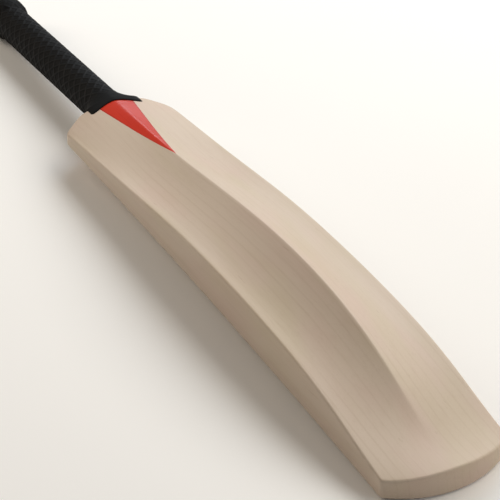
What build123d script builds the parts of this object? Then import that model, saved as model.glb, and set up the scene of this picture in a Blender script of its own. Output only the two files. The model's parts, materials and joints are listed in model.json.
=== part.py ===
"""Cricket bat: a willow blade with a laminated cane handle spliced into it, twine binding and rubber grip.

The bat lies on its face, as it does on a floor: it rests on the toe and on the rolled end of the grip.
+Y runs from toe to handle, +X across the blade, +Z up out of the back. The origin is on the floor,
midway between the toe and the handle end. Inside that frame two directions are used: the blade chord,
a straight line from toe to shoulder on the face, and the handle axis, which is raked forward from it.
"""

from build123d import *
from math import asin, atan2, cos, hypot, radians, sin
import os

os.makedirs("parts", exist_ok=True)

# ---- driving dimensions, mm and degrees ------------------------------------------------------------

# blade, measured along the chord from the toe and square to it from the face
blade_length = 570.0
toe_width = 108.0
shoulder_width = 106.0
face_bow = 5.5
toe_curve = 18.0
toe_radius = 92.0
toe_corner_radius = 6.0
shoulder_drop = 6.0
shoulder_rise = 14.2
shoulder_corner_radius = 10.0
face_edge_radius = 3.5
back_edge_radius = 2.0

# how the back is carved: edge height and spine height at named stations from the toe or the shoulder
run_off_edge, run_off_spine, dome_hollow = 14.0, 27.0, 0.15
scoop_from_toe, scoop_edge, scoop_spine = 36.0, 19.8, 21.8
rise_from_toe, rise_edge, rise_spine = 92.0, 30.5, 40.0
swell_from_toe, swell_edge, swell_spine = 210.0, 38.2, 60.0
waist_to_shoulder, waist_edge, waist_spine = 225.0, 33.2, 50.0
throat_to_shoulder, throat_edge, throat_spine = 125.0, 22.8, 37.2
shoulder_edge, shoulder_spine, shoulder_hollow = 13.0, 29.0, 0.2
neck_edge, neck_spine, neck_hollow = 10.5, 27.5, 0.15

# handle, measured along its axis from the shoulder point
handle_length = 282.0
rake = 4.2
axis_height = 11.8
cane_diameter = 30.0
splice_length = 125.0
splice_half_width = 18.2
cane_slip_width = 12.7
cane_layer = 8.6
spring_thickness = 1.2
twine_thickness = 0.6
twine_to_butt = 6.0

# neck of the handle, where it widens into the shoulders, given by how far it stands out past the cane
neck_start = 6.0
neck_end = 30.0
neck_blend = 8.0
neck_flare = 13.5
neck_back_rise = 3.0
neck_front_dip = 2.0
neck_root = 24.0
root_flare = 11.0
root_dip = 3.5

# rubber grip
grip_wall = 1.6
roll_length = 38.0
roll_step = 11.0
roll_radius = 21.0
roll_edge_radius = 5.0
rim_proud = 3.0
rim_clearance = 0.3

# ---- places that follow from them ------------------------------------------------------------------

cane_radius = cane_diameter / 2
twine_radius = cane_radius + twine_thickness
grip_radius = twine_radius + grip_wall
rim_hole_radius = cane_radius + rim_clearance
grip_end = handle_length + rim_proud
past_bat = 60.0

rake_angle = radians(rake)
roll_reach = grip_end - roll_edge_radius
roll_depth = roll_radius - roll_edge_radius
touch_along = blade_length + roll_reach * cos(rake_angle) - roll_depth * sin(rake_angle)
touch_height = axis_height - roll_reach * sin(rake_angle) - roll_depth * cos(rake_angle)
touch_distance = hypot(touch_along, touch_height)
tilt = asin(roll_edge_radius / touch_distance) - atan2(touch_height, touch_along)

end_along = blade_length + grip_end * cos(rake_angle)
end_height = axis_height - grip_end * sin(rake_angle)
total_length = end_along * cos(tilt) - end_height * sin(tilt)

chord = Vector(0, cos(tilt), sin(tilt))
out_of_back = Vector(0, -sin(tilt), cos(tilt))
handle_axis = Vector(0, cos(tilt - rake_angle), sin(tilt - rake_angle))
plan = Plane(origin=(0, -total_length / 2, 0), x_dir=(1, 0, 0), z_dir=out_of_back)
shoulder_point = plan.from_local_coords((0, blade_length, axis_height))
handle_side = Plane(origin=shoulder_point, x_dir=handle_axis, z_dir=(1, 0, 0))
handle_line = Axis(shoulder_point, handle_axis)


def across_blade(from_toe):
    """Plane square to the chord at a distance from the toe, its y axis out of the back."""
    return Plane(origin=plan.from_local_coords((0, from_toe, 0)), x_dir=(1, 0, 0), z_dir=-chord)


def across_handle(from_shoulder):
    """Plane square to the handle axis at a distance from the shoulder point, its y axis to the back."""
    origin = handle_side.from_local_coords((from_shoulder, 0, 0))
    return Plane(origin=origin, x_dir=(1, 0, 0), z_dir=-handle_axis)


def bow_at(from_toe):
    """Height of the face above the chord: a shallow arch, highest half way along."""
    share = from_toe / blade_length
    return 4 * face_bow * share * (1 - share)


def half_width_at(from_toe):
    """Half the blade's width, which tapers evenly from toe to shoulder."""
    return (toe_width + (shoulder_width - toe_width) * from_toe / blade_length) / 2


# ---- outer form of blade and handle together -------------------------------------------------------

waist_from_toe = blade_length - waist_to_shoulder
throat_from_toe = blade_length - throat_to_shoulder
neck_top = neck_end + neck_blend
neck_from_toe = blade_length + neck_end

# each station: distance from toe, edge height, spine height, hollow (0 domed, 1 hollow up to the spine)
carving = (
    (-toe_curve, run_off_edge, run_off_spine, dome_hollow),
    (scoop_from_toe, scoop_edge, scoop_spine, dome_hollow),
    (rise_from_toe, rise_edge, rise_spine, 1.0),
    (swell_from_toe, swell_edge, swell_spine, 1.0),
    (waist_from_toe, waist_edge, waist_spine, 1.0),
    (throat_from_toe, throat_edge, throat_spine, 1.0),
    (blade_length, shoulder_edge, shoulder_spine, shoulder_hollow),
    (neck_from_toe, neck_edge, neck_spine, neck_hollow),
)

with BuildPart() as carved_blade:
    for from_toe, edge, spine, hollow in carving:
        half = half_width_at(from_toe)
        foot = half - face_edge_radius
        lip = half - back_edge_radius
        face = bow_at(from_toe)
        wall_foot = face + face_edge_radius
        wall_top = face + edge - back_edge_radius
        elbow = face + spine + (edge - spine) * hollow
        with BuildSketch(across_blade(from_toe)):
            with BuildLine():
                Bezier((-lip, face + edge), (-half / 2, elbow), (0, face + spine))
                Bezier((0, face + spine), (half / 2, elbow), (lip, face + edge))
                RadiusArc((lip, face + edge), (half, wall_top), back_edge_radius)
                Line((half, wall_top), (half, wall_foot))
                RadiusArc((half, wall_foot), (foot, face), face_edge_radius)
                Line((foot, face), (-foot, face))
                RadiusArc((-foot, face), (-half, wall_foot), face_edge_radius)
                Line((-half, wall_foot), (-half, wall_top))
                RadiusArc((-half, wall_top), (-lip, face + edge), back_edge_radius)
            make_face()
    loft()

# the plan is cut a little wider than the blade, so that it trims only the toe, the shoulders and corners
plan_margin = 0.3
shoulder_from_toe = blade_length - shoulder_drop
shoulder_half = shoulder_width / 2 + plan_margin
toe_half = toe_width / 2 + plan_margin
neck_half = cane_radius + neck_flare
crest_from_toe = shoulder_from_toe + shoulder_rise * shoulder_half / (shoulder_half - neck_half)

with BuildPart() as plan_block:
    with BuildSketch(plan) as outline:
        with BuildLine():
            RadiusArc((-toe_half, toe_curve), (0, 0), -toe_radius)
            RadiusArc((0, 0), (toe_half, toe_curve), -toe_radius)
            Line((toe_half, toe_curve), (shoulder_half, shoulder_from_toe))
            Line((shoulder_half, shoulder_from_toe), (0, crest_from_toe))
            Line((0, crest_from_toe), (-shoulder_half, shoulder_from_toe))
            Line((-shoulder_half, shoulder_from_toe), (-toe_half, toe_curve))
        make_face()
        fillet(outline.vertices().group_by(Axis.Y)[1], toe_corner_radius)
        fillet(outline.vertices().sort_by(Axis.Y)[-3:-1], shoulder_corner_radius)
    extrude(amount=swell_spine + past_bat, both=True)


def neck_sections(wall):
    """Sections of the neck, from the blade to the round handle, each out by a wall thickness."""
    root = (cane_radius + root_flare, cane_radius - root_dip, cane_radius - root_dip)
    flare = (cane_radius + neck_flare, cane_radius + neck_back_rise, cane_radius - neck_front_dip)
    round_part = (twine_radius, twine_radius, twine_radius)
    places = (neck_start - neck_root, neck_start, neck_end, neck_top)
    shapes = (root, flare, round_part, round_part)
    return [(place, *(size + wall for size in shape)) for place, shape in zip(places, shapes)]


with BuildPart() as neck:
    for from_shoulder, half, back, front in neck_sections(0):
        with BuildSketch(across_handle(from_shoulder)):
            with Locations((0, (back - front) / 2)):
                Ellipse(half, (back + front) / 2)
    loft()

with BuildPart() as shaft:
    with BuildSketch(across_handle(handle_length)):
        Circle(cane_radius)
    extrude(amount=handle_length - neck_end)

with BuildPart() as bat_form:
    add(carved_blade.part)
    add(plan_block.part, mode=Mode.INTERSECT)
    add(neck.part)
    add(shaft.part)

# ---- splice: the V that parts willow from cane -----------------------------------------------------

splice_tip = blade_length - splice_length
v_slope = splice_half_width / (splice_length + neck_start)
v_end = blade_length + handle_length + past_bat
v_half = v_slope * (v_end - splice_tip)

with BuildPart() as splice_wedge:
    with BuildSketch(plan):
        Polygon((0, splice_tip), (v_half, v_end), (-v_half, v_end), align=None)
    extrude(amount=swell_spine + past_bat, both=True)

with BuildPart() as blade:
    add(bat_form.part)
    add(splice_wedge.part, mode=Mode.SUBTRACT)
blade.part.label = "blade"
export_step(blade.part, "parts/blade.step")

with BuildPart() as handle_form:
    add(bat_form.part)
    add(splice_wedge.part, mode=Mode.INTERSECT)

# ---- cane slips and the rubber springs between their layers ----------------------------------------

stack_from = -splice_length - past_bat
stack_length = splice_length + handle_length + 2 * past_bat
layer_pitch = cane_layer + spring_thickness
side_reach = v_half + past_bat

layers = {
    "front": (-side_reach, -layer_pitch - spring_thickness / 2),
    "front_inner": (-layer_pitch + spring_thickness / 2, -spring_thickness / 2),
    "back_inner": (spring_thickness / 2, layer_pitch - spring_thickness / 2),
    "back": (layer_pitch + spring_thickness / 2, side_reach),
}
columns = {
    "left": (-side_reach, -cane_slip_width / 2),
    "middle": (-cane_slip_width / 2, cane_slip_width / 2),
    "right": (cane_slip_width / 2, side_reach),
}
springs = {"front": -layer_pitch, "middle": 0.0, "back": layer_pitch}

for layer, (low, high) in layers.items():
    for column, (inner, outer) in columns.items():
        with BuildPart() as slip:
            with BuildSketch(handle_side.offset(inner)):
                with Locations((stack_from, low)):
                    Rectangle(stack_length, high - low, align=Align.MIN)
            extrude(amount=outer - inner)
            add(handle_form.part, mode=Mode.INTERSECT)
        slip.part.label = f"cane_{layer}_{column}"
        export_step(slip.part, f"parts/cane_{layer}_{column}.step")

for place, height in springs.items():
    with BuildPart() as spring:
        with BuildSketch(handle_side):
            with Locations((stack_from, height - spring_thickness / 2)):
                Rectangle(stack_length, spring_thickness, align=Align.MIN)
        extrude(amount=side_reach, both=True)
        add(handle_form.part, mode=Mode.INTERSECT)
    spring.part.label = f"spring_{place}"
    export_step(spring.part, f"parts/spring_{place}.step")

# ---- twine binding ---------------------------------------------------------------------------------

twine_end = handle_length - twine_to_butt

with BuildPart() as twine:
    with BuildSketch(handle_side):
        with Locations((neck_top, cane_radius)):
            Rectangle(twine_end - neck_top, twine_thickness, align=Align.MIN)
    revolve(axis=handle_line)
twine.part.label = "twine_binding"
export_step(twine.part, "parts/twine_binding.step")

# ---- rubber grip -----------------------------------------------------------------------------------

roll_start = grip_end - roll_length
roll_full = roll_start + roll_step

with BuildPart() as grip_sleeve:
    with BuildSketch(handle_side):
        with BuildLine():
            Line((neck_top, rim_hole_radius), (neck_top, grip_radius))
            Line((neck_top, grip_radius), (roll_start, grip_radius))
            Spline(
                (roll_start, grip_radius),
                (roll_full, roll_radius),
                tangents=((1, 1), (1, 0)),
            )
            Line((roll_full, roll_radius), (roll_reach, roll_radius))
            RadiusArc((roll_reach, roll_radius), (grip_end, roll_depth), roll_edge_radius)
            Line((grip_end, roll_depth), (grip_end, rim_hole_radius))
            Line((grip_end, rim_hole_radius), (neck_top, rim_hole_radius))
        make_face()
    revolve(axis=handle_line)

with BuildPart() as grip_neck:
    for from_shoulder, half, back, front in neck_sections(grip_wall):
        with BuildSketch(across_handle(from_shoulder)):
            with Locations((0, (back - front) / 2)):
                Ellipse(half, (back + front) / 2)
    loft()
    split(bisect_by=across_handle(neck_start), keep=Keep.BOTTOM)

with BuildPart() as grip:
    add(grip_neck.part)
    add(grip_sleeve.part)
    add(twine.part, mode=Mode.SUBTRACT)
    add(bat_form.part, mode=Mode.SUBTRACT)
grip.part.label = "grip"
export_step(grip.part, "parts/grip.step")
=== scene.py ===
"""Cricket bat: the looks of its willow blade, spliced cane handle, twine binding and rubber grip.

The bat lies on its face. Its places come from the packed frame: the handle's line is read from the mount
on the butt, and the blade hangs on that line. Lengths are in metres. Three frames of axes are used:
the frame's own, the blade's (across, along the chord from the toe, out of the back from the chord), and
the handle's (across, along the handle from the shoulder point, out of the back from the handle's line).
"""

import json
from math import atan2, cos, hypot, pi, radians, sin, sqrt

import bmesh
import bpy
import numpy as np
from bpy.props import FloatProperty, FloatVectorProperty, PointerProperty
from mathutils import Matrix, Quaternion, Vector


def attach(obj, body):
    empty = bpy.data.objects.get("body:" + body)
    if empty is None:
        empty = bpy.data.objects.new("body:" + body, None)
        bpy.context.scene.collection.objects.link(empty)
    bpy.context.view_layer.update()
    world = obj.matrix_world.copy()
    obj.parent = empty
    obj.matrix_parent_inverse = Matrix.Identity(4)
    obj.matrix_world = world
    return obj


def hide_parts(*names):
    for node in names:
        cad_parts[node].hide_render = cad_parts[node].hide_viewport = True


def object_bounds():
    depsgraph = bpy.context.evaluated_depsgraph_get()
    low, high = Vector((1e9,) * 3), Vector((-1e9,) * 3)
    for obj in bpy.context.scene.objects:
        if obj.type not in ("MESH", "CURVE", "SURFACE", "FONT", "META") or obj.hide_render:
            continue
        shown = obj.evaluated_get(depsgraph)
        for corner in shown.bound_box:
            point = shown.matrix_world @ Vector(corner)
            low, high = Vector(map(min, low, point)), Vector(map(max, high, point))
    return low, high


bl_info = {
    "name": "Cricket Bat",
    "version": (1, 0, 0),
    "blender": (4, 5, 0),
    "location": "3D View > Sidebar > Bat",
    "description": "Builds a cricket bat: carved willow blade, spliced cane handle, springs, twine and grip",
    "category": "Add Mesh",
}

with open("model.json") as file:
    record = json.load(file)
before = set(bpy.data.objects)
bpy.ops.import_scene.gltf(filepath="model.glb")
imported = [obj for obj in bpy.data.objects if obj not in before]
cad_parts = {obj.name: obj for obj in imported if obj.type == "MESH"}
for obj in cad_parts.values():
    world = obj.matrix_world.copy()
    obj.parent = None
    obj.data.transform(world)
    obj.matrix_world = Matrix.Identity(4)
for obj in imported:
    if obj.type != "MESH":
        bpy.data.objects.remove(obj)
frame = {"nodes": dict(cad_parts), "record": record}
cad_box = [list(corner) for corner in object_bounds()]
mounts = {mount["name"]: mount for mount in frame["record"]["mounts"]}

# how the back is carved: distance from the toe, edge height, spine height, hollow of the flanks
CARVING = (
    (-0.018, 0.0140, 0.0270, 0.15),
    (0.036, 0.0198, 0.0218, 0.15),
    (0.092, 0.0305, 0.0400, 1.0),
    (0.210, 0.0382, 0.0600, 1.0),
    (0.345, 0.0332, 0.0500, 1.0),
    (0.445, 0.0228, 0.0372, 1.0),
    (0.570, 0.0130, 0.0290, 0.20),
    (0.600, 0.0105, 0.0275, 0.15),
)

# layers of the cane stack, front to back, and columns from left to right
LAYERS = ("front", "front_inner", "back_inner", "back")
COLUMNS = ("left", "middle", "right")
SPRINGS = ("front", "middle", "back")

# stations on the handle, from the shoulder point: where the neck starts to turn round, where the slips'
# rows get wider apart, where the stain ends and where the grip is wholly round
NECK_START = 0.006
SHAFT_START = 0.034
STAIN_END = 0.036
GRIP_ROUND = 0.040

# stretches of the willow's end, from the toe: its back sinks and its face rises under the grip, its edges
# turn sharp, and the back's edge grows round the shoulders
BACK_SINKS = (0.5735, 0.580)
FACE_RISES = (0.576, 0.590)
EDGES_FADE = (0.5795, 0.5825)
SHOULDER_ROUNDS = (0.545, 0.562)
SINK_DEPTH = 0.010
RISE_HEIGHT = 0.008

# ribs of the grip: how many wind round it each way, and half a rib's width as a share of their spacing
RIBS_AROUND = 10.0
RIB_HALF_SHARE = 0.16

# meshes: points closer than this are one, and faces smaller than this go
SAME_POINT = 0.000004
NO_FACE = 0.000002


# ---- sizes and colours a user would change ---------------------------------------------------------


def length(name, description, default):
    """A length property in metres."""
    return FloatProperty(name=name, description=description, default=default, unit="LENGTH", precision=4)


def colour(name, description, default):
    """A colour property."""
    return FloatVectorProperty(
        name=name, description=description, default=default, subtype="COLOR", size=3, min=0.0, max=1.0
    )


class BladeSizes(bpy.types.PropertyGroup):
    """Sizes of the willow blade."""

    blade_length: length("Length", "From toe to shoulder, along the chord of the face", 0.570)
    toe_width: length("Toe width", "Width of the blade at the toe", 0.108)
    shoulder_width: length("Shoulder width", "Width of the blade at the shoulders", 0.106)
    face_bow: length("Bow", "How far the face arches above its chord", 0.0055)
    toe_curve: length("Toe curve", "How far the toe's middle stands out past its corners", 0.018)
    toe_corner: length("Toe corner", "Radius of the toe's corners, seen from the back", 0.006)
    shoulder_drop: length("Shoulder drop", "From the shoulder corner to the end of the blade's length", 0.006)
    shoulder_rise: length("Shoulder rise", "How much the shoulder climbs to the neck", 0.0142)
    shoulder_corner: length("Shoulder corner", "Radius of the shoulder corners, seen from the back", 0.010)
    shoulder_end: length("Shoulder end", "Half the width that the sloping shoulders run in to", 0.0265)
    neck_half: length("Neck", "Half the width at which the line of the shoulders meets the neck", 0.0285)
    willow_end: length("Willow end", "Where the willow ends under the grip, from the toe", 0.583)
    face_edge: length("Face edge", "Radius of the edges round the face", 0.0035)
    back_edge: length("Back edge", "Radius of the edges round the back", 0.002)
    shoulder_edge: length("Shoulder edge", "Radius of the back's edge round the shoulders", 0.003)
    crest: length("Crest", "How widely the spine is sanded off", 0.0012)


class HandleSizes(bpy.types.PropertyGroup):
    """Sizes of the cane handle, its springs and its splice."""

    handle_length: length("Handle length", "From the shoulder point to the butt", 0.282)
    rake: FloatProperty(
        name="Rake",
        description="Angle between the handle and the chord",
        default=radians(4.2),
        unit="ROTATION",
    )
    axis_height: length("Handle height", "Height of the handle's line over the chord at the shoulder", 0.0118)
    cane_radius: length("Cane radius", "Radius of the round handle", 0.015)
    splice_length: length("Splice length", "From the tip of the splice to the shoulder point", 0.125)
    splice_half: length("Splice half width", "Its half width 6 mm past the shoulder point", 0.0182)
    slip_width: length("Slip width", "Width of the middle slips of cane", 0.0127)
    layer: length("Layer", "Thickness of one layer of cane", 0.0086)
    spring: length("Spring", "Thickness of a rubber spring", 0.0012)


class GripSizes(bpy.types.PropertyGroup):
    """Sizes of the rubber grip."""

    wall: length("Wall", "Thickness of the rubber", 0.0016)
    twine: length("Twine", "Thickness of the twine under the rubber", 0.0006)
    skirt_half: length("Skirt half width", "Half the width of the flared end over the shoulders", 0.0288)
    skirt_side: length("Skirt side", "Where the skirt stops at the sides, from the shoulder point", -0.006)
    skirt_back: length("Skirt back", "Where the skirt stops on the spine, from the shoulder point", 0.001)
    flare: length("Flare", "Length over which the handle's round form takes over from the blade's", 0.028)
    roll_length: length("Roll length", "Length of the thick roll at the butt", 0.038)
    roll_step: length("Roll step", "Length over which the grip swells to the roll", 0.011)
    roll_radius: length("Roll radius", "Radius of the roll", 0.021)
    roll_edge: length("Roll edge", "Radius of the roll's outer edge", 0.005)
    rim_proud: length("Rim", "How far the rim stands past the butt", 0.003)
    rim_clearance: length("Rim clearance", "Gap between the rim's hole and the cane", 0.0003)
    rib_depth: length("Rib depth", "How far the ribs stand out of the rubber", 0.0006)
    rib_pitch: length("Rib pitch", "Length of one lozenge of the ribs along the grip", 0.012)


class BatColours(bpy.types.PropertyGroup):
    """Colours of the finishes."""

    willow: colour("Willow", "Body colour of the willow", (0.60, 0.495, 0.40))
    willow_rose: colour("Rosy willow", "Rosy patches of the willow", (0.60, 0.465, 0.385))
    willow_straw: colour("Straw willow", "Yellower patches of the willow", (0.565, 0.48, 0.345))
    grain: colour("Grain", "Lines of late wood", (0.40, 0.285, 0.185))
    fleck: colour("Fleck", "Small dark flecks in the willow", (0.36, 0.24, 0.15))
    stain: colour("Stain", "Red stain of the splice", (0.60, 0.030, 0.009))
    stain_deep: colour("Deep stain", "Red stain where it lies thickest", (0.36, 0.012, 0.005))
    cane: colour("Cane", "Bare cane", (0.56, 0.40, 0.21))
    # also the dark colour mixed into the twine, for its painted shade in the grooves and for its soil
    cane_pore_and_twine_shade: colour("Cane pores", "Open pores on the cane's end", (0.13, 0.07, 0.03))
    spring: colour("Spring", "Rubber of the springs", (0.035, 0.034, 0.033))
    twine: colour("Twine", "Waxed twine", (0.50, 0.42, 0.30))
    rubber: colour("Grip rubber", "Rubber of the grip", (0.0034, 0.0034, 0.0037))
    rubber_worn: colour("Worn rubber", "Rubber on the tops of the ribs", (0.0065, 0.0065, 0.0069))
    floor: colour("Floor", "Floor under the bat", (0.95, 0.95, 0.95))


# ---- shader expressions ----------------------------------------------------------------------------


class Signal:
    """One output of a material's nodes. Arithmetic on a value adds Math nodes to that material."""

    def __init__(self, finish, socket):
        self.finish = finish
        self.socket = socket

    def math(self, operation, *others):
        """Math node of this value and the others."""
        values = dict(enumerate((self, *others)))
        return self.finish.node("ShaderNodeMath", {"operation": operation}, values)

    def __add__(self, other):
        return self.math("ADD", other)

    def __sub__(self, other):
        return self.math("SUBTRACT", other)

    def __rsub__(self, other):
        return self.finish.node("ShaderNodeMath", {"operation": "SUBTRACT"}, {0: other, 1: self})

    def __mul__(self, other):
        return self.math("MULTIPLY", other)

    def __truediv__(self, other):
        return self.math("DIVIDE", other)

    __radd__ = __add__
    __rmul__ = __mul__

    def step(self, low, high):
        """0 below low, 1 above high and a smooth rise between them."""
        settings = {"interpolation_type": "SMOOTHSTEP"}
        values = {"Value": self, "From Min": low, "From Max": high}
        return self.finish.node("ShaderNodeMapRange", settings, values)

    def fold(self, period):
        """Distance to the nearest whole multiple of a period, as a share of that period, 0 to 0.5."""
        return ((self / period + 0.5).math("FRACT") - 0.5).math("ABSOLUTE")


class Finish:
    """A procedural material, and one method that adds any node to it."""

    def __init__(self, name):
        self.material = bpy.data.materials.new(name)
        self.material.use_nodes = True
        self.nodes = self.material.node_tree.nodes
        self.links = self.material.node_tree.links
        self.nodes.clear()
        self.place = self.node("ShaderNodeTexCoord", {}, {}, "Object")
        split = {"Vector": self.place}
        self.across = self.node("ShaderNodeSeparateXYZ", {}, split, "X")
        self.along = self.node("ShaderNodeSeparateXYZ", {}, split, "Y")
        self.up = self.node("ShaderNodeSeparateXYZ", {}, split, "Z")

    def node(self, kind, settings, inputs, output=0):
        """Adds a node: its settings first, then values or links for its sockets. Gives one of its outputs."""
        made = self.nodes.new(kind)
        for name, value in settings.items():
            setattr(made, name, value)
        for name, value in inputs.items():
            if isinstance(value, Signal):
                self.links.new(value.socket, made.inputs[name])
            else:
                made.inputs[name].default_value = value
        return Signal(self, made.outputs[output])

    def noise(self, scale, detail=3.0, roughness=0.5):
        """Noise of 0 to 1 with its own scale, per metre, on each axis."""
        settings = {"vector_type": "POINT"}
        stretched = self.node("ShaderNodeMapping", settings, {"Vector": self.place, "Scale": scale})
        inputs = {"Vector": stretched, "Scale": 1.0, "Detail": detail, "Roughness": roughness}
        return self.node("ShaderNodeTexNoise", {}, inputs, "Fac")

    def attribute(self, name):
        """A number kept on the piece's points."""
        return self.node("ShaderNodeAttribute", {"attribute_name": name}, {}, "Fac")

    def blend(self, share, first, second):
        """Mixes two colours: the first where the share is 0, the second where it is 1."""
        inputs = {0: share}
        for place, value in ((6, first), (7, second)):
            inputs[place] = value if isinstance(value, Signal) else (*value, 1.0)
        return self.node("ShaderNodeMix", {"data_type": "RGBA"}, inputs, 2)

    def bump(self, height, distance, strength=1.0):
        """Normal bent by a height of 0 to 1 that stands for a distance in metres."""
        inputs = {"Height": height, "Distance": distance, "Strength": strength}
        return self.node("ShaderNodeBump", {}, inputs, "Normal")

    def surface(self, inputs):
        """Ends the material in one Principled shader with these sockets."""
        values = {}
        for name, value in inputs.items():
            plain = isinstance(value, Signal) or not name.endswith("Color")
            values[name] = value if plain else (*value, 1.0)
        shader = self.node("ShaderNodeBsdfPrincipled", {}, values)
        output = self.nodes.new("ShaderNodeOutputMaterial")
        self.links.new(shader.socket, output.inputs["Surface"])
        return self.material


def willow_finish(colours):
    """Bare sanded willow: fine rings of late wood along the blade, rosy and straw patches, short flecks.

    The rings are upright sheets 7.2 mm apart that wander a little, so they show as lines on the back and the
    face and as short bars on the toe, where the cut ends of the fibres also make the wood darker.
    """
    wood = Finish("bare_willow")
    wander = wood.noise((9.0, 2.2, 9.0), 2.0)
    rings = (wood.across + wood.up * 0.16 + wander * 0.016).fold(0.0072)
    late_wood = 1.0 - rings.step(0.0, 0.17)
    ring_strength = wood.noise((30.0, 4.0, 30.0), 2.0).step(0.35, 0.75)
    fibres = wood.noise((1500.0, 26.0, 1500.0), 3.0, 0.6)
    broad = wood.noise((260.0, 9.0, 260.0), 3.0)
    rosy = wood.noise((24.0, 9.0, 24.0), 2.0).step(0.40, 0.68)
    straw = wood.noise((31.0, 7.0, 17.0), 2.0).step(0.45, 0.70)
    flecks = wood.noise((420.0, 46.0, 420.0), 2.0).step(0.70, 0.78)
    facing = wood.node("ShaderNodeNewGeometry", {}, {}, "Normal")
    lengthways = wood.node("ShaderNodeSeparateXYZ", {}, {"Vector": facing}, "Y").math("ABSOLUTE")
    cut_end = lengthways.step(0.62, 0.92)
    pores = wood.noise((2600.0, 2600.0, 2600.0), 2.0).step(0.42, 0.66)
    body = wood.blend(rosy * 0.75, colours.willow, colours.willow_rose)
    body = wood.blend(straw * 0.6, body, colours.willow_straw)
    body = wood.blend(late_wood * (0.04 + 0.15 * ring_strength), body, colours.grain)
    body = wood.blend(fibres.step(0.48, 0.80) * 0.16 + broad.step(0.45, 0.8) * 0.10, body, colours.grain)
    body = wood.blend(flecks * 0.22, body, colours.fleck)
    body = wood.blend(cut_end * (0.16 + 0.22 * pores), body, colours.grain)
    rough = 0.50 + 0.10 * fibres + 0.14 * cut_end
    relief = fibres * 0.7 + broad * 0.3 + pores * cut_end
    return wood.surface({
        "Base Color": body,
        "Roughness": rough,
        "Normal": wood.bump(relief, 0.00012, 0.55),
    })


def cane_finish(colours, name, bare, pore):
    """Cane that is stained red and lacquered in the splice and left bare at the butt.

    The points' number lacquer says where the stain is. It gathers towards the edges of the splice, by the
    number margin. On the butt, the cut fibres show as dark dots; along the slips they are fine streaks.
    """
    cane = Finish(name)
    lacquer = cane.attribute("lacquer").step(0.3, 0.7)
    margin = cane.attribute("margin")
    streaks = cane.noise((900.0, 14.0, 900.0), 3.0, 0.6)
    cloud = cane.noise((60.0, 16.0, 60.0), 2.0)
    cells = cane.node("ShaderNodeTexVoronoi", {}, {"Vector": cane.place, "Scale": 1150.0}, "Distance")
    dots = 1.0 - cells.step(0.16, 0.34)
    raw = cane.blend(dots * 0.75 + streaks * 0.15, bare, pore)
    gathered = margin.step(0.86, 1.0) * 0.55 + streaks.step(0.5, 0.8) * 0.25 + cloud.step(0.5, 0.8) * 0.15
    red = cane.blend(gathered, colours.stain, colours.stain_deep)
    return cane.surface({
        "Base Color": cane.blend(lacquer, raw, red),
        "Roughness": 0.62 - 0.26 * lacquer + 0.08 * cloud,
        "Coat Weight": lacquer * 0.60,
        "Coat Roughness": 0.22,
        "Specular IOR Level": 0.20,
        "Normal": cane.bump(streaks * 0.5 + cloud * 0.5, 0.00010, 0.5),
    })


def twine_finish(colours):
    """Waxed twine wound side by side: turns 0.9 mm apart, with the twist of its strands across them."""
    twine = Finish("waxed_twine_turns")
    turns = twine.along.fold(0.0009)
    twist = (twine.along + twine.across * 0.7).fold(0.0005)
    soil = twine.noise((80.0, 80.0, 80.0), 3.0)
    # painted shade: the colour darkens towards the grooves between the turns, where shade falls, and the soil
    # noise adds real dirt
    shade = (0.30 - turns) * 0.9 + soil * 0.35
    tint = twine.blend(shade, colours.twine, colours.cane_pore_and_twine_shade)
    return twine.surface({
        "Base Color": tint,
        "Roughness": 0.55 + soil * 0.2,
        "Normal": twine.bump(turns * 1.6 + twist * 0.4, 0.00025, 0.8),
    })


def rubber_finish(colours):
    """Moulded rubber: matt in the hollows of its pattern, a little worn and paler on top of the ribs."""
    rubber = Finish("moulded_grip_rubber")
    raised = rubber.attribute("raised")
    skin = rubber.noise((1400.0, 1400.0, 1400.0), 3.0, 0.6)
    handled = rubber.noise((34.0, 20.0, 34.0), 3.0).step(0.38, 0.72)
    worn = raised.step(0.45, 1.0) * (0.35 + 0.65 * handled)
    return rubber.surface({
        "Base Color": rubber.blend(worn, colours.rubber, colours.rubber_worn),
        "Roughness": 0.60 - 0.14 * worn + 0.12 * skin,
        "Normal": rubber.bump(skin, 0.00010, 0.5),
        "Specular IOR Level": 0.10,
    })


def floor_finish(colours):
    """Plain pale floor, matt, with a very faint cloudiness."""
    floor = Finish("pale_floor")
    cloud = floor.noise((3.0, 3.0, 3.0), 2.0)
    shade = [0.97 * part for part in colours.floor]
    return floor.surface({
        "Base Color": floor.blend(cloud, colours.floor, shade),
        "Roughness": 0.85 + 0.1 * cloud,
    })


# ---- form of the bat -------------------------------------------------------------------------------


def smooth_rise(value, low, high):
    """0 below low, 1 above high, and between them the cubic 3t^2 - 2t^3."""
    share = np.clip((value - low) / (high - low), 0.0, 1.0)
    return share * share * (3.0 - 2.0 * share)


def natural_curve(knots, heights, wanted):
    """Natural cubic spline through the knots, read at the wanted places.

    Between two knots the height is the cubic whose second slope runs straight from one knot's to the
    other's, and those second slopes solve one row per inner knot and are nought at both ends.
    """
    gaps = np.diff(knots)
    rises = np.diff(heights) / gaps
    rows = np.eye(len(knots))
    for knot in range(1, len(knots) - 1):
        rows[knot, knot - 1:knot + 2] = gaps[knot - 1], 2 * (gaps[knot - 1] + gaps[knot]), gaps[knot]
    sides = np.concatenate([[0.0], 6.0 * np.diff(rises), [0.0]])
    bends = np.linalg.solve(rows, sides)
    span = np.clip(np.searchsorted(knots, wanted) - 1, 0, len(gaps) - 1)
    past = wanted - knots[span]
    ahead = gaps[span] - past
    cubic = (bends[span] * ahead ** 3 + bends[span + 1] * past ** 3) / (6.0 * gaps[span])
    before = (heights[span] / gaps[span] - bends[span] * gaps[span] / 6.0) * ahead
    after = (heights[span + 1] / gaps[span] - bends[span + 1] * gaps[span] / 6.0) * past
    return cubic + before + after


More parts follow.
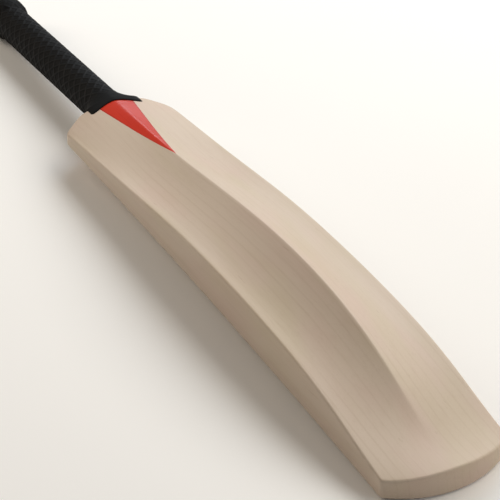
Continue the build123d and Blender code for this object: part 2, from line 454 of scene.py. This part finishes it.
class BatForm:
    """The bat's form as height fields over the blade's plan and sections of the handle."""

    def __init__(self, blade, handle, grip):
        self.blade = blade
        self.handle = handle
        self.grip = grip
        butt = Vector(mounts["butt_face"]["pos_m"])
        self.axis = Vector(mounts["butt_face"]["axis"])
        tilt = handle.rake + atan2(self.axis.z, self.axis.y)
        self.chord = Vector((0.0, cos(tilt), sin(tilt)))
        self.out = Vector((0.0, -sin(tilt), cos(tilt)))
        self.shoulder = butt - self.axis * handle.handle_length
        self.toe = self.shoulder - self.chord * blade.blade_length - self.out * handle.axis_height
        self.tip = blade.blade_length - handle.splice_length
        self.splay = handle.splice_half / (handle.splice_length + NECK_START)

    def on_blade(self, across, along, height):
        """Frame points from blade measures."""
        across, along, height = np.broadcast_arrays(across, along, height)
        points = np.array(self.toe) + along[..., None] * np.array(self.chord)
        points = points + height[..., None] * np.array(self.out)
        points[..., 0] += across
        return points

    def along_of(self, station):
        """Distance from the toe of a station on the handle's line."""
        return self.blade.blade_length + station * cos(self.handle.rake)

    def line_height(self, station):
        """Height of the handle's line over the chord at a station."""
        return self.handle.axis_height - station * sin(self.handle.rake)

    def on_handle(self, across, station, height):
        """Frame points from handle measures.

        The sections stand square to the blade's chord in the splice and turn to stand square to the
        handle by 60 mm past the shoulder point.
        """
        across, station, height = np.broadcast_arrays(across, station, height)
        lean = self.handle.rake * smooth_rise(station, 0.030, 0.060)
        along = self.along_of(station) + height * np.sin(lean)
        return self.on_blade(across, along, self.line_height(station) + height * np.cos(lean))

    def half_width(self, along):
        """Half the blade's width: an even taper from toe to shoulder."""
        blade = self.blade
        return (blade.toe_width + (blade.shoulder_width - blade.toe_width) * along / blade.blade_length) / 2

    def face(self, along):
        """Height of the face over the chord: a shallow arch, 4 b t (1 - t)."""
        share = along / self.blade.blade_length
        return 4.0 * self.blade.face_bow * share * (1.0 - share)

    def back(self, across, along):
        """Height of the back over the chord.

        Each flank is a quadratic Bezier curve from the spine to the edge: its middle point stands half way
        across, at the edge's height where the flank is hollow and near the spine's where it is domed. The
        spine is sanded off by reading the flank at sqrt(x^2 + crest^2) in place of x.
        """
        knots, edges, spines, hollows = np.array(CARVING).T
        edge = natural_curve(knots, edges, along)
        spine = natural_curve(knots, spines, along)
        elbow = natural_curve(knots, spines + (edges - spines) * hollows, along)
        half = self.half_width(along)
        lip = half - self.blade.back_edge
        across = np.minimum(np.sqrt(across ** 2 + self.blade.crest ** 2), lip)
        shrink = half - lip
        share = (half - np.sqrt(half ** 2 - 4.0 * shrink * across)) / (2.0 * shrink)
        flank = (1 - share) ** 2 * spine + 2 * share * (1 - share) * elbow + share ** 2 * edge
        return self.face(along) + flank

    def willow_back(self, across, along):
        """Height of the willow's back: the bat's, sunk where the grip covers its end."""
        return self.back(across, along) - SINK_DEPTH * smooth_rise(along, *BACK_SINKS)

    def willow_face(self, _, along):
        """Height of the willow's face: the bat's, drawn up where the grip covers its end."""
        return self.face(along) + RISE_HEIGHT * smooth_rise(along, *FACE_RISES)

    def splice_half(self, along):
        """Half the width of the splice's V at a distance from the toe."""
        return np.maximum(self.splay * (along - self.tip), 0.0)

    def roundness(self, station):
        """0 where the handle still has the blade's form, 1 where it is round: 1 - (1 - t)^2."""
        share = np.clip((station - NECK_START) / self.grip.flare, 0.0, 1.0)
        return 1.0 - (1.0 - share) ** 2


def arc(centre, radius, start, end, count):
    """Points along an arc about a centre, from one angle to another."""
    turn = np.linspace(start, end, count)
    return np.stack([centre[0] + radius * np.cos(turn), centre[1] + radius * np.sin(turn)], 1)


def run(start, end, count):
    """Points along a straight line."""
    return np.linspace(start, end, count)


# ---- meshes ----------------------------------------------------------------------------------------


def sheet_quads(rows, columns, first=0):
    """Four-sided faces of a sheet of points numbered row by row."""
    numbers = np.arange(rows * columns).reshape(rows, columns) + first
    corners = numbers[:-1, :-1], numbers[1:, :-1], numbers[1:, 1:], numbers[:-1, 1:]
    return np.stack(corners, -1).reshape(-1, 4)


def closed_piece(name, points, quads, numbers, finish, crease):
    """A closed mesh of four-sided faces, with doubled points merged and the faces turned outwards."""
    used, renumbered = np.unique(quads, return_inverse=True)
    mesh = bpy.data.meshes.new(name)
    mesh.from_pydata(points[used].tolist(), [], renumbered.reshape(quads.shape).tolist())
    for label, values in numbers.items():
        layer = mesh.attributes.new(label, "FLOAT", "POINT")
        layer.data.foreach_set("value", np.asarray(values, np.float32)[used])
    work = bmesh.new()
    work.from_mesh(mesh)
    bmesh.ops.remove_doubles(work, verts=work.verts, dist=SAME_POINT)
    bmesh.ops.dissolve_degenerate(work, edges=work.edges, dist=NO_FACE)
    bmesh.ops.recalc_face_normals(work, faces=work.faces)
    work.to_mesh(mesh)
    work.free()
    mesh.polygons.foreach_set("use_smooth", np.ones(len(mesh.polygons), bool))
    mesh.set_sharp_from_angle(angle=crease)
    mesh.materials.append(finish)
    piece = bpy.data.objects.new(name, mesh)
    bpy.context.scene.collection.objects.link(piece)
    return piece


def sheets_together(sheets):
    """One array of points and one of faces from several sheets (rows, columns, 3)."""
    points, quads, first = [], [], 0
    for sheet in sheets:
        rows, columns = sheet.shape[:2]
        points.append(sheet.reshape(-1, 3))
        quads.append(sheet_quads(rows, columns, first))
        first += rows * columns
    return np.concatenate(points), np.concatenate(quads)


def place_piece(piece, node):
    """Fixes a piece to the bat, in place of a node of the frame."""
    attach(piece, "root")
    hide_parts(node)


# ---- blade -----------------------------------------------------------------------------------------


def half_outline(form):
    """Half the blade's outline in plan, from the toe's middle to the willow's end, and its inner line.

    The toe is an arc through its middle and its corners. Then come the toe's corner arc, the straight side,
    the shoulder's corner arc, the sloping shoulder and a short run under the grip. Each outline point has a
    partner on the spine or, past the splice's tip, on the splice's edge.
    """
    blade = form.blade
    half = blade.toe_width / 2
    toe_radius = (half ** 2 + blade.toe_curve ** 2) / (2 * blade.toe_curve)
    reach = half - blade.toe_corner
    toe_centre = (reach, toe_radius - sqrt((toe_radius - blade.toe_corner) ** 2 - reach ** 2))
    toe_turn = atan2(toe_centre[1] - toe_radius, reach)
    shoulder_half = blade.shoulder_width / 2
    shoulder_from = blade.blade_length - blade.shoulder_drop
    slope_run = shoulder_half - blade.neck_half
    slope = hypot(slope_run, blade.shoulder_rise)
    inward = (-blade.shoulder_rise / slope, -slope_run / slope)
    shoulder_centre = (
        shoulder_half - blade.shoulder_corner,
        shoulder_from + blade.shoulder_corner * (1 + inward[0]) / inward[1],
    )
    shoulder_turn = atan2(-inward[1], -inward[0])
    slope_end = shoulder_from + (shoulder_half - blade.shoulder_end) * blade.shoulder_rise / slope_run
    under_grip = (float(form.splice_half(blade.willow_end)), blade.willow_end)
    stretches = (
        (arc((0.0, toe_radius), toe_radius, -pi / 2, toe_turn, 34), 0.034, 0.052),
        (arc(toe_centre, blade.toe_corner, toe_turn, 0.0, 13), 0.052, 0.058),
        (run((half, toe_centre[1]), (shoulder_half, shoulder_centre[1]), 190), 0.058, 0.540),
        (arc(shoulder_centre, blade.shoulder_corner, 0.0, shoulder_turn, 13), 0.540, 0.546),
        (run(
            (shoulder_centre[0] - blade.shoulder_corner * inward[0],
             shoulder_centre[1] - blade.shoulder_corner * inward[1]),
            (blade.shoulder_end, slope_end), 16), 0.546, 0.570),
        (run((blade.shoulder_end, slope_end), under_grip, 7), 0.570, 0.575),
    )
    outer = np.concatenate([points[:-1] for points, _, _ in stretches[:-1]] + [stretches[-1][0]])
    inner = np.concatenate(
        [run(low, high, len(points))[:-1] for points, low, high in stretches[:-1]]
        + [run(stretches[-1][1], stretches[-1][2], len(stretches[-1][0]))]
    )
    tip_row = int(np.argmin(np.abs(inner - form.tip)))
    inner[tip_row] = form.tip
    return outer, np.stack([form.splice_half(inner), inner], 1), tip_row


def inward_normals(outer):
    """Unit normals of the outline, pointing into the blade."""
    tangent = np.gradient(outer, axis=0)
    tangent /= np.hypot(tangent[:, 0], tangent[:, 1])[:, None]
    normal = np.stack([-tangent[:, 1], tangent[:, 0]], 1)
    normal[0] = (0.0, 1.0)
    return normal


def blade_side(outer, inner, radius, height, outwards):
    """One side of half the blade, back or face, as a sheet of blade measures.

    Every row of the sheet starts on the outline, turns over the edge on a quarter circle of the given
    radius and runs straight to its partner on the inner line, with points closer together near the spine.
    Outwards is 1 for the back and -1 for the face.
    """
    turn = np.linspace(0.0, pi / 2, 8)
    normal = inward_normals(outer)
    depth = radius[:, None] * (1.0 - np.cos(turn))
    drop = radius[:, None] * (1.0 - np.sin(turn))
    edge_plan = outer[:, None] + normal[:, None] * depth[..., None]
    share = 1.0 - (1.0 - np.linspace(0.0, 1.0, 30)[1:]) ** 1.5
    start = edge_plan[:, -1:]
    inner_plan = start + (inner[:, None] - start) * share[None, :, None]
    plan = np.concatenate([edge_plan, inner_plan], 1)
    level = height(plan[..., 0], plan[..., 1])
    level[:, :len(turn)] -= drop * outwards
    return plan, level


def blade_sheets(form):
    """All sheets of the blade: back, face, outer wall and splice wall of each half."""
    outer, inner, tip_row = half_outline(form)
    blade = form.blade
    covered = 1.0 - smooth_rise(outer[:, 1], *EDGES_FADE) * (outer[:, 0] < blade.shoulder_end + 0.0001)
    round_shoulder = smooth_rise(outer[:, 1], *SHOULDER_ROUNDS)
    back_radius = (blade.back_edge + (blade.shoulder_edge - blade.back_edge) * round_shoulder) * covered
    face_radius = blade.face_edge * covered
    back_plan, back_level = blade_side(outer, inner, back_radius, form.willow_back, 1.0)
    face_plan, face_level = blade_side(outer, inner, face_radius, form.willow_face, -1.0)
    share = np.linspace(0.0, 1.0, 7)[None, :]
    wall_level = back_level[:, :1] + (face_level[:, :1] - back_level[:, :1]) * share
    splice_plan = np.concatenate([back_plan[tip_row:, -1], back_plan[-1, ::-1]])
    splice_back = np.concatenate([back_level[tip_row:, -1], back_level[-1, ::-1]])
    splice_face = np.concatenate([face_level[tip_row:, -1], face_level[-1, ::-1]])
    sheets = []
    for side in (1.0, -1.0):
        sheets.append(form.on_blade(side * back_plan[..., 0], back_plan[..., 1], back_level))
        sheets.append(form.on_blade(side * face_plan[..., 0], face_plan[..., 1], face_level))
        sheets.append(form.on_blade(side * outer[:, :1], outer[:, 1:], wall_level))
        sheets.append(form.on_blade(
            side * splice_plan[:, :1], splice_plan[:, 1:], np.stack([splice_back, splice_face], 1)
        ))
    return sheets


class BAT_OT_blade(bpy.types.Operator):
    """Builds the carved willow blade"""

    bl_idname = "bat.blade"
    bl_label = "Willow blade"

    def execute(self, context):
        scene = context.scene
        form = BatForm(scene.bat_blade, scene.bat_handle, scene.bat_grip)
        points, quads = sheets_together(blade_sheets(form))
        piece = closed_piece("carved_blade", points, quads, {}, willow_finish(scene.bat_colours), radians(40))
        place_piece(piece, "blade")
        return {"FINISHED"}


# ---- cane slips and springs ------------------------------------------------------------------------


def bar_sheets(form, low, high, inner, outer):
    """Top and bottom sheets of one bar of the handle's stack, and the numbers kept on their points.

    The bar is the handle's form cut to a layer, from low to high, and to a column, from inner to outer. In
    the splice, its top is the blade's back, its bottom is the face and its side is the V. Past the shoulder
    point these three turn evenly into the round handle.
    """
    handle = form.handle
    reach = min(abs(inner), abs(outer)) if inner * outer > 0 else 0.0
    start = (form.tip + reach / form.splay - form.blade.blade_length) / cos(handle.rake)
    splice = np.linspace(start, SHAFT_START, 70)
    shaft = np.linspace(SHAFT_START, handle.handle_length, 22)
    station = np.concatenate([splice, shaft[1:]])[:, None]
    along = form.along_of(station)
    line = form.line_height(station)
    roundness = form.roundness(station)
    radius = handle.cane_radius
    limit = form.splice_half(along) * (1.0 - roundness) + radius * roundness
    across = np.clip(np.linspace(inner, outer, 13)[None, :], -limit, limit)
    circle = np.sqrt(np.maximum(radius ** 2 - across ** 2, 0.0))
    back = (form.back(across, along) - line) * (1.0 - roundness) + circle * roundness
    face = (form.face(along) - line) * (1.0 - roundness) - circle * roundness
    top = np.clip(back, low, high)
    bottom = np.clip(face, low, high)
    lacquer = np.broadcast_to(station < STAIN_END, across.shape)
    margin = np.abs(across) / np.maximum(limit, 0.0001)
    return form.on_handle(across, station, top), form.on_handle(across, station, bottom), lacquer, margin


def bar_piece(form, name, bounds, finish):
    """A closed bar from its top and bottom sheets, with sides and ends, but no faces without thickness."""
    top, bottom, lacquer, margin = bar_sheets(form, *bounds)
    rows, columns = top.shape[:2]
    upper = np.arange(rows * columns).reshape(rows, columns)
    lower = upper + rows * columns
    thick = (np.abs(top - bottom).sum(-1) > 0.00001).ravel()
    solid = np.concatenate([thick, thick])
    quads = [sheet_quads(rows, columns), sheet_quads(rows, columns, rows * columns)]
    for edge in (0, -1):
        for over, under in ((upper[:, edge], lower[:, edge]), (upper[edge], lower[edge])):
            quads.append(np.stack([over[:-1], over[1:], under[1:], under[:-1]], 1))
    quads = np.concatenate(quads)
    quads = quads[solid[quads].any(1)]
    points = np.concatenate([top.reshape(-1, 3), bottom.reshape(-1, 3)])
    numbers = {"lacquer": np.tile(lacquer.ravel(), 2), "margin": np.tile(margin.ravel(), 2)}
    return closed_piece(name, points, quads, numbers, finish, radians(30))


class BAT_OT_slips(bpy.types.Operator):
    """Builds the twelve slips of cane"""

    bl_idname = "bat.slips"
    bl_label = "Cane slips"

    def execute(self, context):
        scene = context.scene
        form = BatForm(scene.bat_blade, scene.bat_handle, scene.bat_grip)
        handle = scene.bat_handle
        colours = scene.bat_colours
        finish = cane_finish(colours, "stained_cane", colours.cane, colours.cane_pore_and_twine_shade)
        pitch = handle.layer + handle.spring
        far = 0.080
        cuts = (-far, -pitch, 0.0, pitch, far)
        middle = handle.slip_width / 2
        sides = {"left": (-far / 2, -middle), "middle": (-middle, middle), "right": (middle, far / 2)}
        for number, layer in enumerate(LAYERS):
            low = cuts[number] + handle.spring / 2
            high = cuts[number + 1] - handle.spring / 2
            for column in COLUMNS:
                piece = bar_piece(form, f"slip_{layer}_{column}", (low, high, *sides[column]), finish)
                place_piece(piece, f"cane_{layer}_{column}")
        return {"FINISHED"}


class BAT_OT_springs(bpy.types.Operator):
    """Builds the three rubber springs between the layers of cane"""

    bl_idname = "bat.springs"
    bl_label = "Rubber springs"

    def execute(self, context):
        scene = context.scene
        form = BatForm(scene.bat_blade, scene.bat_handle, scene.bat_grip)
        handle = scene.bat_handle
        colours = scene.bat_colours
        finish = cane_finish(colours, "stained_spring", colours.spring, [part / 2 for part in colours.spring])
        pitch = handle.layer + handle.spring
        for number, place in enumerate(SPRINGS):
            middle = (number - 1) * pitch
            bounds = (middle - handle.spring / 2, middle + handle.spring / 2, -0.040, 0.040)
            piece = bar_piece(form, f"sheet_spring_{place}", bounds, finish)
            place_piece(piece, f"spring_{place}")
        return {"FINISHED"}


class BAT_OT_twine(bpy.types.Operator):
    """Gives the twine binding its finish"""

    bl_idname = "bat.twine"
    bl_label = "Twine binding"

    def execute(self, context):
        binding = frame["nodes"]["twine_binding"]
        binding.data.materials.clear()
        binding.data.materials.append(twine_finish(context.scene.bat_colours))
        return {"FINISHED"}


# ---- grip ------------------------------------------------------------------------------------------


def grip_profile(form):
    """Outline of the round part of the grip: stations, radii and how far the ribs stand out, 0 to 1.

    It runs up the outside to the roll, over the roll's edge, across the rim, down its hole and back inside.
    """
    grip = form.grip
    bore = form.handle.cane_radius + grip.twine
    outside = bore + grip.wall
    end = form.handle.handle_length + grip.rim_proud
    roll_start = end - grip.roll_length
    roll_full = roll_start + grip.roll_step
    edge_start = end - grip.roll_edge
    hole = form.handle.cane_radius + grip.rim_clearance
    body = np.linspace(GRIP_ROUND, roll_start, 330)
    swell = np.linspace(roll_start, roll_full, 14)[1:]
    rise = outside + (grip.roll_radius - outside) * np.sin((swell - roll_start) / grip.roll_step * pi / 2)
    roll = np.linspace(roll_full, edge_start, 16)[1:]
    turn = np.linspace(0.0, pi / 2, 12)[1:]
    round_edge = edge_start + grip.roll_edge * np.sin(turn)
    round_radius = grip.roll_radius - grip.roll_edge * (1.0 - np.cos(turn))
    inside = np.array([end, end - 0.0030, end - 0.0090, end - 0.0092, GRIP_ROUND])
    inside_radius = np.array([hole, hole, hole, bore, bore])
    station = np.concatenate([body, swell, roll, round_edge, inside])
    radius = np.concatenate([np.full(len(body), outside), rise, np.full(len(roll), grip.roll_radius),
                             round_radius, inside_radius])
    ribbed = np.concatenate([np.ones(len(body)), 1.0 - 0.6 * smooth_rise(swell, roll_start, roll_full),
                             np.full(len(roll), 0.4), 0.4 * (1.0 - turn / (pi / 2)) ** 2,
                             np.zeros(len(inside))])
    return station, radius, ribbed


def rib_pattern(form, angle, station):
    """Height of the ribs, 0 to 1: two sets of ribs that wind round the grip in opposite senses.

    A rib's height is 1 - s^2 across it, where s is the distance from its middle over its half width.
    """
    grip = form.grip
    turns = RIBS_AROUND * angle / (2.0 * pi)
    climb = station / grip.rib_pitch
    ribs = []
    for sense in (1.0, -1.0):
        offset = np.abs((turns + sense * climb) % 1.0 - 0.5) / RIB_HALF_SHARE
        ribs.append(np.clip(1.0 - offset ** 2, 0.0, 1.0))
    return np.maximum(*ribs)


def skirt_section(form, angle, station, wall):
    """Offsets of the grip's skirt from the handle's line at points that lie round it, for a wall thickness.

    Over the blade the skirt follows the bat's own section: the back and the face, out by the wall, joined
    at the sides by 1 - (1 - c)^4 of the cosine c of the angle. It turns into a circle along the handle.
    """
    grip = form.grip
    handle = form.handle
    half = grip.skirt_half - grip.wall + wall
    side = -0.003
    across = half * np.sin(angle)
    along = form.along_of(station)
    line = form.line_height(station)
    roof = form.back(across, along) - line + wall - side
    sole = form.face(along) - line - wall - side
    lift = 1.0 - (1.0 - np.abs(np.cos(angle))) ** 4
    height = side + np.where(np.cos(angle) > 0, roof, sole) * lift
    roundness = form.roundness(station)
    circle = handle.cane_radius + grip.twine + wall
    return (
        across * (1.0 - roundness) + circle * np.sin(angle) * roundness,
        height * (1.0 - roundness) + circle * np.cos(angle) * roundness,
    )


def grip_sheet(form):
    """The grip as one closed sheet: round the handle, and along its profile outside and back inside."""
    grip = form.grip
    angle = np.linspace(0.0, 2.0 * pi, 181)[None, :-1]
    spine_share = np.abs(np.cos(angle)) ** 4
    lower_edge = grip.skirt_side + (grip.skirt_back - grip.skirt_side) * spine_share
    share = np.linspace(0.0, 1.0, 56)[:-1, None]
    skirt_station = lower_edge + (GRIP_ROUND - lower_edge) * share
    lip = 1.0 - (1.0 - np.clip(share / 0.05, 0.0, 1.0)) ** 2
    outer = skirt_section(form, angle, skirt_station, grip.wall * (0.55 + 0.45 * lip))
    inner = skirt_section(form, angle, skirt_station[::-3], 0.0002)
    station, radius, ribbed = grip_profile(form)
    round_station = np.broadcast_to(station[:, None], (len(station), angle.shape[1]))
    round_across = radius[:, None] * np.sin(angle)
    round_height = radius[:, None] * np.cos(angle)
    stations = np.concatenate([skirt_station, round_station, skirt_station[::-3]])
    across = np.concatenate([outer[0], round_across, inner[0]])
    height = np.concatenate([outer[1], round_height, inner[1]])
    fade = np.concatenate([
        np.broadcast_to(smooth_rise(skirt_station, 0.016, 0.030), skirt_station.shape),
        np.broadcast_to(ribbed[:, None], round_station.shape),
        np.zeros(inner[0].shape),
    ])
    raised = rib_pattern(form, angle, stations) * fade
    reach = np.hypot(across, height)
    grow = 1.0 + raised * grip.rib_depth / reach
    sunk = grip.rib_depth * 0.6 * fade / reach
    across = across * (grow - sunk)
    height = height * (grow - sunk)
    return form.on_handle(across, stations, height), raised


def ring_quads(rows, columns):
    """Faces of a sheet that closes on itself both ways."""
    row = np.arange(rows)[:, None]
    column = np.arange(columns)[None, :]
    next_row = (row + 1) % rows
    next_column = (column + 1) % columns
    corners = (
        row * columns + column,
        row * columns + next_column,
        next_row * columns + next_column,
        next_row * columns + column,
    )
    return np.stack(corners, -1).reshape(-1, 4)


class BAT_OT_grip(bpy.types.Operator):
    """Builds the moulded rubber grip with its skirt, ribs and rolled end"""

    bl_idname = "bat.grip"
    bl_label = "Rubber grip"

    def execute(self, context):
        scene = context.scene
        form = BatForm(scene.bat_blade, scene.bat_handle, scene.bat_grip)
        sheet, raised = grip_sheet(form)
        quads = ring_quads(*sheet.shape[:2])
        finish = rubber_finish(scene.bat_colours)
        piece = closed_piece("moulded_grip", sheet.reshape(-1, 3), quads, {"raised": raised.ravel()}, finish,
                             radians(50))
        place_piece(piece, "grip")
        return {"FINISHED"}


# ---- stage -----------------------------------------------------------------------------------------

FLOOR_SIDE = 6.0
FLOOR_GAP = 0.0002
ROOM_TINT = (1.0, 0.95, 0.88, 1.0)
ROOM_STRENGTH = 0.09

# name, place, size, power and tint of each light
LIGHTS = (
    ("key_light", (1.8, -0.3, 1.9), 2.2, 44.0, (1.0, 0.92, 0.80)),
    ("back_light", (1.4, 1.4, 1.5), 1.6, 33.0, (0.86, 0.93, 1.0)),
    ("left_light", (-1.2, 1.5, 1.4), 1.4, 22.0, (1.0, 0.88, 0.73)),
    ("front_light", (1.3, -2.0, 1.0), 1.4, 13.0, (1.0, 1.0, 1.0)),
)

CAMERA_PLACE = (-0.6459, -1.3264, 0.9084)
CAMERA_AZIMUTH = radians(-28.10)
CAMERA_DIP = radians(32.60)
CAMERA_ROLL = radians(-0.64)
CAMERA_LENS = 142.8


def soft_light(name, place, size, power, tint):
    """A square soft light at a place, turned to the middle of the bat."""
    light = bpy.data.lights.new(name, "AREA")
    light.shape = "SQUARE"
    light.size = size
    light.energy = power
    light.color = tint
    holder = bpy.data.objects.new(name, light)
    holder.location = place
    holder.rotation_euler = (-Vector(place)).to_track_quat("-Z", "Y").to_euler()
    bpy.context.scene.collection.objects.link(holder)


class BAT_OT_stage(bpy.types.Operator):
    """Lays the pale floor and sets the lights and the camera"""

    bl_idname = "bat.stage"
    bl_label = "Floor, lights and camera"

    def execute(self, context):
        scene = context.scene
        level = cad_box[0][2] - FLOOR_GAP
        signs = ((-1, -1), (1, -1), (1, 1), (-1, 1))
        corners = [(x * FLOOR_SIDE, y * FLOOR_SIDE, level) for x, y in signs]
        mesh = bpy.data.meshes.new("floor")
        mesh.from_pydata(corners, [], [(0, 1, 2, 3)])
        mesh.materials.append(floor_finish(scene.bat_colours))
        floor = bpy.data.objects.new("floor", mesh)
        scene.collection.objects.link(floor)

        world = bpy.data.worlds.new("soft_room")
        world.use_nodes = True
        room = world.node_tree.nodes["Background"].inputs
        room["Color"].default_value = ROOM_TINT
        room["Strength"].default_value = ROOM_STRENGTH
        scene.world = world
        for name, place, size, power, tint in LIGHTS:
            soft_light(name, place, size, power, tint)

        camera = bpy.data.cameras.new("camera")
        camera.sensor_width = 36.0
        camera.lens = CAMERA_LENS
        camera.clip_start = 0.05
        level_part = cos(CAMERA_DIP)
        look = Vector((
            -sin(CAMERA_AZIMUTH) * level_part,
            cos(CAMERA_AZIMUTH) * level_part,
            -sin(CAMERA_DIP),
        ))
        holder = bpy.data.objects.new("camera", camera)
        holder.location = CAMERA_PLACE
        holder.rotation_mode = "QUATERNION"
        holder.rotation_quaternion = look.to_track_quat("-Z", "Y") @ Quaternion((0, 0, 1), CAMERA_ROLL)
        scene.collection.objects.link(holder)
        scene.camera = holder
        scene.view_settings.view_transform = "Standard"
        return {"FINISHED"}


# ---- panel and registration ------------------------------------------------------------------------

OPERATORS = (BAT_OT_blade, BAT_OT_slips, BAT_OT_springs, BAT_OT_twine, BAT_OT_grip, BAT_OT_stage)
GROUPS = {
    "bat_blade": BladeSizes,
    "bat_handle": HandleSizes,
    "bat_grip": GripSizes,
    "bat_colours": BatColours,
}


class BAT_PT_panel(bpy.types.Panel):
    """Sizes, colours and pieces of the bat"""

    bl_label = "Cricket Bat"
    bl_idname = "BAT_PT_panel"
    bl_space_type = "VIEW_3D"
    bl_region_type = "UI"
    bl_category = "Bat"

    def draw(self, context):
        for operator in OPERATORS:
            self.layout.operator(operator.bl_idname)
        for name, group in GROUPS.items():
            box = self.layout.box()
            box.label(text=group.__doc__)
            for prop in group.__annotations__:
                box.prop(getattr(context.scene, name), prop)


def register():
    """Registers the property groups, the operators and the panel."""
    for group in (*GROUPS.values(), *OPERATORS, BAT_PT_panel):
        bpy.utils.register_class(group)
    for name, group in GROUPS.items():
        setattr(bpy.types.Scene, name, PointerProperty(type=group))


def unregister():
    """Takes everything that register added away again."""
    for name in GROUPS:
        delattr(bpy.types.Scene, name)
    for group in (BAT_PT_panel, *OPERATORS, *GROUPS.values()):
        bpy.utils.unregister_class(group)


def main():
    """Builds the whole bat and its stage."""
    register()
    for operator in OPERATORS:
        getattr(bpy.ops.bat, operator.bl_idname.partition(".")[2])()


if __name__ == "__main__":
    main()
